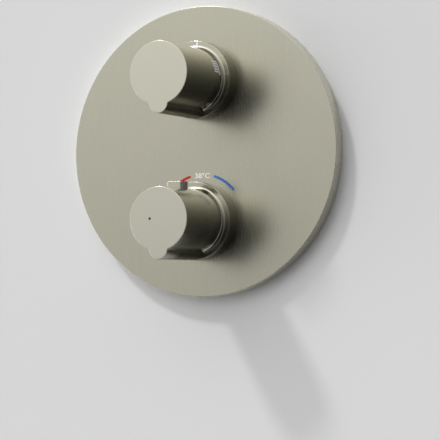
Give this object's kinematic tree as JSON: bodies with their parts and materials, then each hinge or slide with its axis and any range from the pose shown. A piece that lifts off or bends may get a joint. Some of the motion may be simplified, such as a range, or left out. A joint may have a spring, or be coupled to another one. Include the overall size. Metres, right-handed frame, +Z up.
{
  "type": "concealed thermostatic shower valve",
  "caption": "Concealed thermostatic shower valve: round trim disc, flow knob above, temperature knob with safety button below, brass body with cartridges and bracket behind the wall.",
  "frame": {"origin": "centre of the round trim disc on the wall's finished face", "axes": "+X right as seen facing the valve, +Y into the wall, +Z up; the flow knob is at z +0.053 and the temperature knob at z -0.053"},
  "size_m": [0.22, 0.17, 0.22],
  "materials": {
    "plate_nickel": "brushed nickel plating, fine linear grain",
    "collar_nickel": "brushed nickel plating, turned grain",
    "knob_nickel": "brushed nickel plating, satin",
    "button_nickel": "brushed nickel plating on a moulded button",
    "brass": "turned brass",
    "cast_brass": "shot-blasted cast brass with machined faces",
    "copper": "drawn copper capsule",
    "steel": "stainless steel",
    "zinc_steel": "galvanised sheet steel",
    "ceramic": "polished alumina ceramic",
    "black_plastic": "glass-filled moulded plastic",
    "grey_plastic": "moulded acetal",
    "seal_rubber": "black rubber",
    "gasket_foam": "closed-cell foam",
    "membrane_rubber": "grey-blue rubber sheet"
  },
  "bodies": {
    "valve": {"trim_plate": "plate_nickel", "wall_gasket": "gasket_foam", "flow_collar": "collar_nickel", "temperature_collar": "collar_nickel", "collar_ring_nuts": "black_plastic", "collar_seals": "seal_rubber", "flow_sleeve": "brass", "temperature_sleeve": "brass", "sleeve_orings": "seal_rubber", "sealing_membrane": "membrane_rubber", "flow_headwork": "brass", "headwork_seal": "seal_rubber", "fixed_ceramic_disc": "ceramic", "disc_seat_seal": "seal_rubber", "thermostat_housing": "black_plastic", "thermostat_orings": "seal_rubber", "thermostat_strainers": "steel", "thermostat_nut": "brass", "temperature_stop_ring": "grey_plastic", "return_spring": "steel", "valve_body": "cast_brass", "hot_check_cage": "grey_plastic", "cold_check_cage": "grey_plastic", "hot_check_spring": "steel", "cold_check_spring": "steel", "hot_strainer": "steel", "cold_strainer": "steel", "mounting_bracket": "zinc_steel", "bracket_screws": "steel"},
    "flow_control": {"flow_knob": "knob_nickel", "flow_adapter": "brass", "flow_adapter_screw": "steel", "flow_set_screw": "steel", "flow_spindle": "brass", "flow_spindle_orings": "seal_rubber", "flow_spindle_clip": "steel", "flow_stop_ring": "grey_plastic", "moving_ceramic_disc": "ceramic"},
    "temperature_control": {"temperature_knob": "knob_nickel", "temperature_adapter": "brass", "temperature_adapter_screw": "steel", "temperature_set_screw": "steel", "temperature_spindle": "brass", "temperature_spindle_orings": "seal_rubber", "temperature_spindle_clip": "steel", "safety_button_spring": "steel"},
    "safety_button": {"safety_button": "button_nickel"},
    "regulator": {"regulating_nut": "grey_plastic", "overload_cup": "grey_plastic", "overload_spring": "steel", "piston_seat": "brass", "wax_piston": "steel"},
    "thermostat": {"wax_element": "copper", "mixing_shuttle": "grey_plastic"},
    "hot_check": {"hot_check_poppet": "black_plastic"},
    "cold_check": {"cold_check_poppet": "black_plastic"}
  },
  "joints": [
    {"name": "flow_knob_turn", "type": "hinge", "parent": "valve", "child": "flow_control", "pos_m": [0, -0.024, 0.053], "axis": [0, -1, 0], "range_deg": [0, 66]},
    {"name": "temperature_knob_turn", "type": "hinge", "parent": "valve", "child": "temperature_control", "pos_m": [0, -0.024, -0.053], "axis": [0, -1, 0], "range_deg": [-50, 50]},
    {"name": "safety_button_press", "type": "slide", "parent": "temperature_control", "child": "safety_button", "axis": [0, 0, -1], "range_m": [0, 0.002], "stiffness_N_per_m": 900, "springref_m": -0.0012, "deforming": ["safety_button_spring"]},
    {"name": "regulator_slide", "type": "slide", "parent": "valve", "child": "regulator", "axis": [0, -1, 0], "range_m": [-0.0006, 0.0006], "deforming": ["return_spring"]},
    {"name": "thermostat_stroke", "type": "slide", "parent": "regulator", "child": "thermostat", "axis": [0, 1, 0], "range_m": [0, 0.0008], "stiffness_N_per_m": 1500, "springref_m": -0.001, "deforming": ["return_spring"]},
    {"name": "hot_check_lift", "type": "slide", "parent": "valve", "child": "hot_check", "axis": [1, 0, 0], "range_m": [0, 0.003], "stiffness_N_per_m": 60, "springref_m": -0.001, "deforming": ["hot_check_spring"]},
    {"name": "cold_check_lift", "type": "slide", "parent": "valve", "child": "cold_check", "axis": [-1, 0, 0], "range_m": [0, 0.003], "stiffness_N_per_m": 60, "springref_m": -0.001, "deforming": ["cold_check_spring"]}
  ],
  "couplings": [
    {"joint": "regulator_slide", "follows": "temperature_knob_turn", "m_per_rad": 0.00063662}
  ]
}
